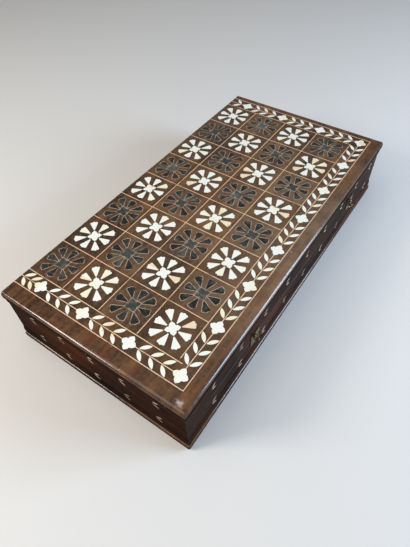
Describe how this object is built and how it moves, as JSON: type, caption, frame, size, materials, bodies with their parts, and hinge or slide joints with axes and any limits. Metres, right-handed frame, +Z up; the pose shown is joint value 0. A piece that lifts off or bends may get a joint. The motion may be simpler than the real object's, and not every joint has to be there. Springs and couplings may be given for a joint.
{
  "type": "folding chess board box",
  "caption": "Folding board box: two hinged wooden trays with inlaid chequered outer faces, brass swing-hook latches and long triangular game points inside.",
  "frame": {"origin": "under the middle of the closed box, on its resting face", "axes": "+X from the hinge side to the latch side, +Y from the near end to the far end, +Z up"},
  "size_m": [0.232, 0.453, 0.0823],
  "materials": {
    "rosewood": "worn glossy varnish",
    "ebony": "semi-gloss",
    "boxwood": "semi-gloss",
    "bone": "polished bone",
    "brass": "dull aged brass"
  },
  "bodies": {
    "lower_tray": {"lower_panel": "rosewood", "lower_veneer": "rosewood", "lower_wall_near": "rosewood", "lower_wall_far": "rosewood", "lower_wall_latch": "rosewood", "lower_wall_hinge": "rosewood", "lower_cove_near": "rosewood", "lower_cove_latch": "rosewood", "lower_cove_far": "rosewood", "lower_ebony_rosettes": "ebony", "lower_bone_rosettes": "bone", "lower_stringing": "boxwood", "lower_border_stems": "boxwood", "lower_border_stars": "bone", "lower_border_leaves": "bone", "lower_wall_leaves": "bone", "lower_light_points": "boxwood", "lower_dark_points": "ebony", "lower_hinge_screws": "brass", "lower_latch_pins": "brass", "near_hinge_lower_leaf": "brass", "near_hinge_pin": "brass", "near_latch_lower_plate": "brass", "near_latch_stud": "brass", "far_hinge_lower_leaf": "brass", "far_hinge_pin": "brass", "far_latch_lower_plate": "brass", "far_latch_stud": "brass"},
    "upper_tray": {"upper_panel": "rosewood", "upper_veneer": "rosewood", "upper_wall_near": "rosewood", "upper_wall_far": "rosewood", "upper_wall_latch": "rosewood", "upper_wall_hinge": "rosewood", "upper_cove_near": "rosewood", "upper_cove_latch": "rosewood", "upper_cove_far": "rosewood", "upper_ebony_rosettes": "ebony", "upper_bone_rosettes": "bone", "upper_stringing": "boxwood", "upper_border_stems": "boxwood", "upper_border_stars": "bone", "upper_border_leaves": "bone", "upper_wall_leaves": "bone", "upper_light_points": "boxwood", "upper_dark_points": "ebony", "upper_hinge_screws": "brass", "upper_latch_pins": "brass", "near_hinge_upper_leaf": "brass", "near_latch_upper_plate": "brass", "near_latch_rivet": "brass", "far_hinge_upper_leaf": "brass", "far_latch_upper_plate": "brass", "far_latch_rivet": "brass"},
    "near_hook": {"near_latch_hook": "brass"},
    "far_hook": {"far_latch_hook": "brass"}
  },
  "joints": [
    {"name": "board_fold", "type": "hinge", "parent": "lower_tray", "child": "upper_tray", "pos_m": [-0.11385, 0, 0.04115], "axis": [0, -1, 0], "range_deg": [0, 180]},
    {"name": "near_hook_swing", "type": "hinge", "parent": "upper_tray", "child": "near_hook", "pos_m": [0.11265, -0.1096, 0.04635], "axis": [1, 0, 0], "range_deg": [0, 100]},
    {"name": "far_hook_swing", "type": "hinge", "parent": "upper_tray", "child": "far_hook", "pos_m": [0.11265, 0.1339, 0.04635], "axis": [1, 0, 0], "range_deg": [0, 100]}
  ]
}
